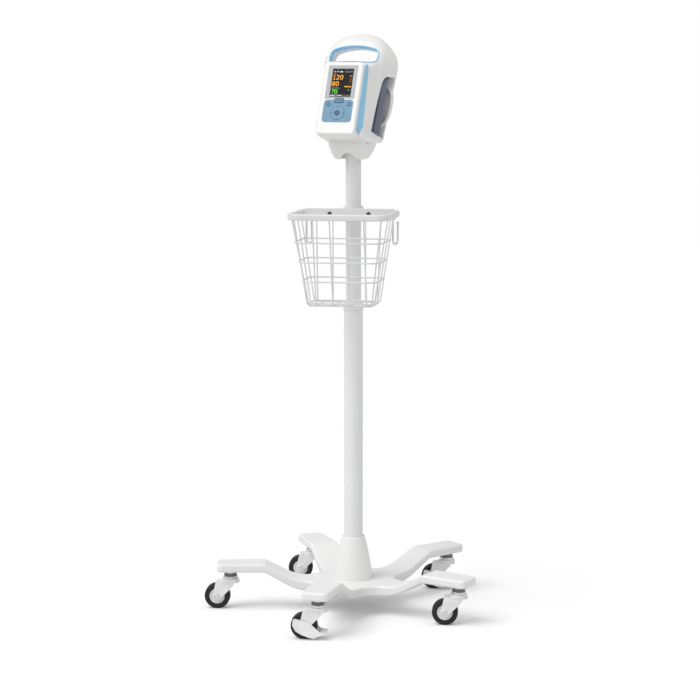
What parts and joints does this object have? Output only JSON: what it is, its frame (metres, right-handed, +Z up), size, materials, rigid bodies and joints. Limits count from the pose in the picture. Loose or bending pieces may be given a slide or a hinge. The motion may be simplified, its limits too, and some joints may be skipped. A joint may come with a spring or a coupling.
{
  "type": "patient monitor stand",
  "caption": "Vital signs monitor with a handle, stored arm cuff and air hose, on a column with a wire basket and a wheeled star base with swivel casters and brakes.",
  "frame": {"origin": "point on the floor under the column's axis", "axes": "+Z up along the column, the screen faces -Y, +X is the side with the cuff bay"},
  "size_m": [0.5383, 0.5101, 1.1183],
  "materials": {
    "white_shell": "satin",
    "grey_trim": "satin",
    "blue_trim": "satin",
    "keypad_blue": "satin",
    "key_blue": "satin",
    "window_glass": "clear",
    "display": "gloss",
    "circuit_board": "satin",
    "dark_plastic": "satin",
    "cuff_cloth": "woven",
    "hose_rubber": "satin",
    "pole_paint": "satin powder coat",
    "base_paint": "satin powder coat",
    "wire_paint": "satin plastic coat",
    "collar_plastic": "satin",
    "zinc_steel": "zinc plated",
    "bright_chrome": "polished",
    "wheel_plastic": "satin",
    "wheel_rubber": "matt",
    "fork_steel": "zinc plated",
    "lever_plastic": "zinc plated"
  },
  "bodies": {
    "stand": {"base_star": "base_paint", "base_bolt": "zinc_steel", "pole_shroud": "base_paint", "lower_tube": "pole_paint", "tube_collar": "collar_plastic", "upper_tube": "pole_paint", "caster_stems": "zinc_steel", "caster_dust_rings": "dark_plastic", "caster_upper_races": "bright_chrome", "basket_wire": "wire_paint", "basket_rim": "wire_paint", "basket_plate": "wire_paint", "basket_clamp": "base_paint", "basket_screws": "zinc_steel", "basket_hooks": "bright_chrome", "bucket_mount": "white_shell", "head_screws": "zinc_steel", "front_housing": "white_shell", "rear_housing": "white_shell", "side_strips": "blue_trim", "screen_bezel": "grey_trim", "screen_window": "window_glass", "lcd_module": "display", "keypad_panel": "keypad_blue", "handle_trim": "blue_trim", "cuff": "cuff_cloth", "air_hose": "hose_rubber", "hose_connector": "grey_trim", "main_board": "circuit_board", "air_pump": "dark_plastic", "battery_pack": "dark_plastic"},
    "caster_front": {"fork_front": "fork_steel", "axle_front": "zinc_steel"},
    "wheel_front": {"hub_front": "wheel_plastic", "tyre_front": "wheel_rubber"},
    "caster_right_front": {"fork_right_front": "fork_steel", "axle_right_front": "zinc_steel"},
    "wheel_right_front": {"hub_right_front": "wheel_plastic", "tyre_right_front": "wheel_rubber"},
    "caster_right_back": {"fork_right_back": "fork_steel", "axle_right_back": "zinc_steel"},
    "wheel_right_back": {"hub_right_back": "wheel_plastic", "tyre_right_back": "wheel_rubber"},
    "caster_left_back": {"fork_left_back": "fork_steel", "axle_left_back": "zinc_steel"},
    "wheel_left_back": {"hub_left_back": "wheel_plastic", "tyre_left_back": "wheel_rubber"},
    "caster_left_front": {"fork_left_front": "fork_steel", "axle_left_front": "zinc_steel"},
    "wheel_left_front": {"hub_left_front": "wheel_plastic", "tyre_left_front": "wheel_rubber"},
    "brake_front": {"brake_lever_front": "lever_plastic"},
    "brake_right_back": {"brake_lever_right_back": "lever_plastic"},
    "start_key": {"start_key": "key_blue"},
    "left_key": {"left_key": "key_blue"},
    "right_key": {"right_key": "key_blue"},
    "select_key": {"select_key": "key_blue"},
    "nav_carrier": {"nav_gimbal": "dark_plastic"},
    "nav_ring": {"nav_ring": "keypad_blue"},
    "battery_door": {"battery_door": "white_shell"}
  },
  "joints": [
    {"name": "swivel_front", "type": "hinge", "parent": "stand", "child": "caster_front", "pos_m": [0.0198, -0.24089, 0.058], "axis": [0, 0, 1], "continuous": true},
    {"name": "spin_front", "type": "hinge", "parent": "caster_front", "child": "wheel_front", "pos_m": [-0.00513, -0.24827, 0.025], "axis": [-0.284, 0.9588, 0], "continuous": true},
    {"name": "swivel_right_front", "type": "hinge", "parent": "stand", "child": "caster_right_front", "pos_m": [0.23522, -0.0556, 0.058], "axis": [0, 0, 1], "continuous": true},
    {"name": "spin_right_front", "type": "hinge", "parent": "caster_right_front", "child": "wheel_right_front", "pos_m": [0.21029, -0.06299, 0.025], "axis": [-0.284, 0.9588, 0], "continuous": true},
    {"name": "swivel_right_back", "type": "hinge", "parent": "stand", "child": "caster_right_back", "pos_m": [0.12557, 0.20652, 0.058], "axis": [0, 0, 1], "continuous": true},
    {"name": "spin_right_back", "type": "hinge", "parent": "caster_right_back", "child": "wheel_right_back", "pos_m": [0.10064, 0.19914, 0.025], "axis": [-0.284, 0.9588, 0], "continuous": true},
    {"name": "swivel_left_back", "type": "hinge", "parent": "stand", "child": "caster_left_back", "pos_m": [-0.15761, 0.18324, 0.058], "axis": [0, 0, 1], "continuous": true},
    {"name": "spin_left_back", "type": "hinge", "parent": "caster_left_back", "child": "wheel_left_back", "pos_m": [-0.18254, 0.17586, 0.025], "axis": [-0.284, 0.9588, 0], "continuous": true},
    {"name": "swivel_left_front", "type": "hinge", "parent": "stand", "child": "caster_left_front", "pos_m": [-0.22298, -0.09327, 0.058], "axis": [0, 0, 1], "continuous": true},
    {"name": "spin_left_front", "type": "hinge", "parent": "caster_left_front", "child": "wheel_left_front", "pos_m": [-0.24791, -0.10066, 0.025], "axis": [-0.284, 0.9588, 0], "continuous": true},
    {"name": "brake_front", "type": "hinge", "parent": "caster_front", "child": "brake_front", "pos_m": [0.00638, -0.24486, 0.0275], "axis": [0.284, -0.9588, 0], "range_deg": [0, 15]},
    {"name": "brake_right_back", "type": "hinge", "parent": "caster_right_back", "child": "brake_right_back", "pos_m": [0.11214, 0.20255, 0.0275], "axis": [0.284, -0.9588, 0], "range_deg": [0, 15]},
    {"name": "start_key_press", "type": "slide", "parent": "stand", "child": "start_key", "axis": [0, 0.9212, -0.3891], "range_m": [0, 0.001], "stiffness_N_per_m": 900, "springref_m": -0.0006},
    {"name": "left_key_press", "type": "slide", "parent": "stand", "child": "left_key", "axis": [0, 0.9212, -0.3891], "range_m": [0, 0.001], "stiffness_N_per_m": 900, "springref_m": -0.0006},
    {"name": "right_key_press", "type": "slide", "parent": "stand", "child": "right_key", "axis": [0, 0.9212, -0.3891], "range_m": [0, 0.001], "stiffness_N_per_m": 900, "springref_m": -0.0006},
    {"name": "select_key_press", "type": "slide", "parent": "stand", "child": "select_key", "axis": [0, 0.9212, -0.3891], "range_m": [0, 0.001], "stiffness_N_per_m": 900, "springref_m": -0.0006},
    {"name": "nav_left_right", "type": "hinge", "parent": "stand", "child": "nav_carrier", "pos_m": [0, -0.08354, 0.96833], "axis": [0, 0.3891, 0.9212], "range_deg": [-3, 3], "stiffness_Nm_per_rad": 0.2},
    {"name": "nav_up_down", "type": "hinge", "parent": "nav_carrier", "child": "nav_ring", "pos_m": [0, -0.08354, 0.96833], "axis": [1, 0, 0], "range_deg": [-3, 3], "stiffness_Nm_per_rad": 0.2},
    {"name": "battery_door_hinge", "type": "hinge", "parent": "stand", "child": "battery_door", "pos_m": [0, 0.00842, 0.93393], "axis": [-1, 0, 0], "range_deg": [0, 90]}
  ]
}
